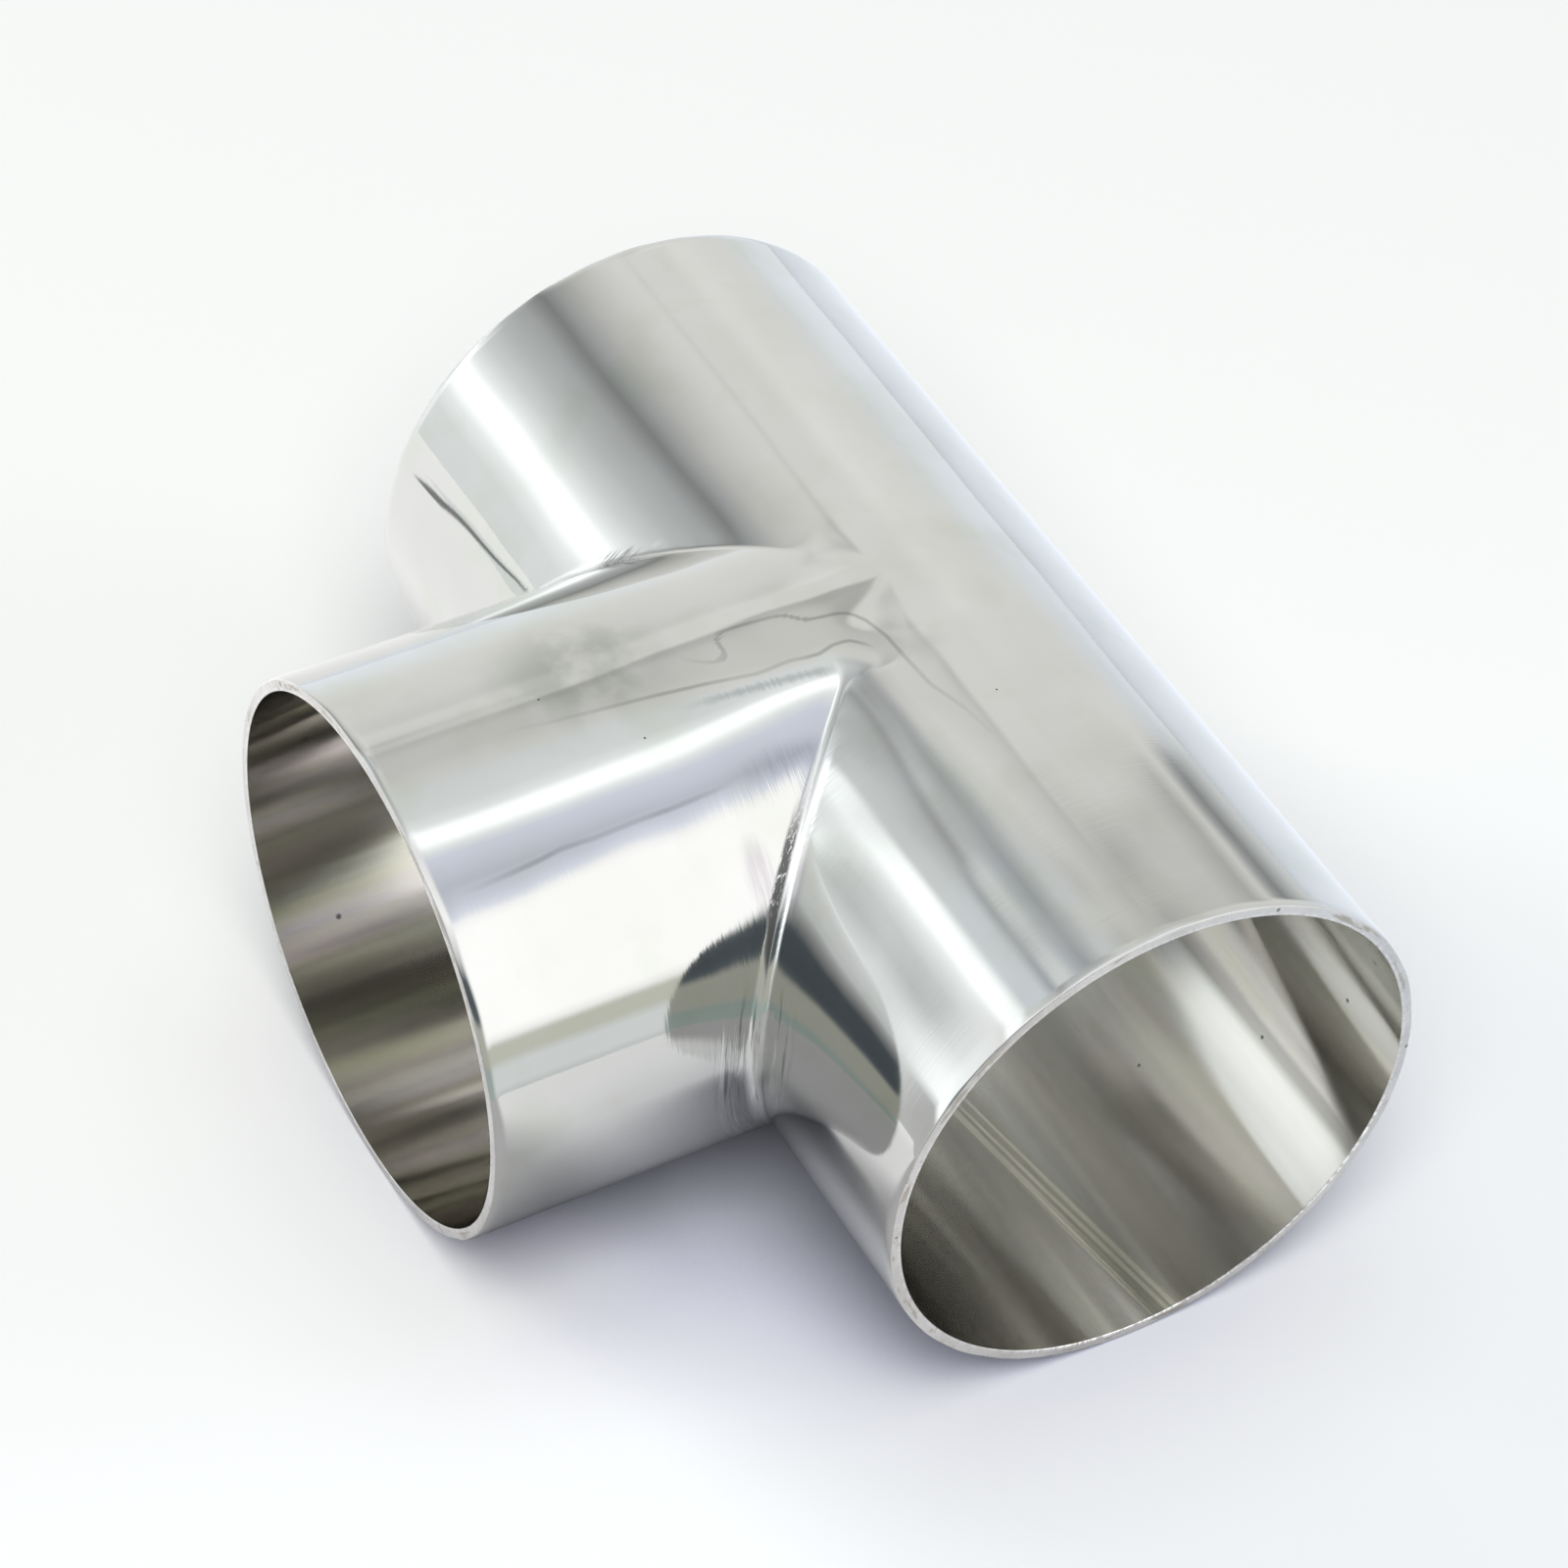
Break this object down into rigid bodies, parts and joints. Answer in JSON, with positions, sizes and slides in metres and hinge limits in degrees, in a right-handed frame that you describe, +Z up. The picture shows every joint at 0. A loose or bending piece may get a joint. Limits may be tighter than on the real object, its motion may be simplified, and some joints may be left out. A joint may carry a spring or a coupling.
{
  "type": "weld tee",
  "caption": "Thin-walled equal tee for sanitary tube: a straight run with a square branch of the same bore, all ends cut plain for butt welding.",
  "frame": {"origin": "where the axis of the run crosses the axis of the branch", "axes": "+X along the run, -Y out of the branch's mouth, +Z up as the tee lies on its side on a bench, resting on the lowest line of the run and of the branch"},
  "size_m": [0.144, 0.1131, 0.0762],
  "materials": {
    "polished_stainless": "mirror-polished outside with fine hand-polishing marks at the crotch, satin bore, bare cut ends"
  },
  "bodies": {
    "root": {"tee_body": "polished_stainless"}
  },
  "joints": []
}
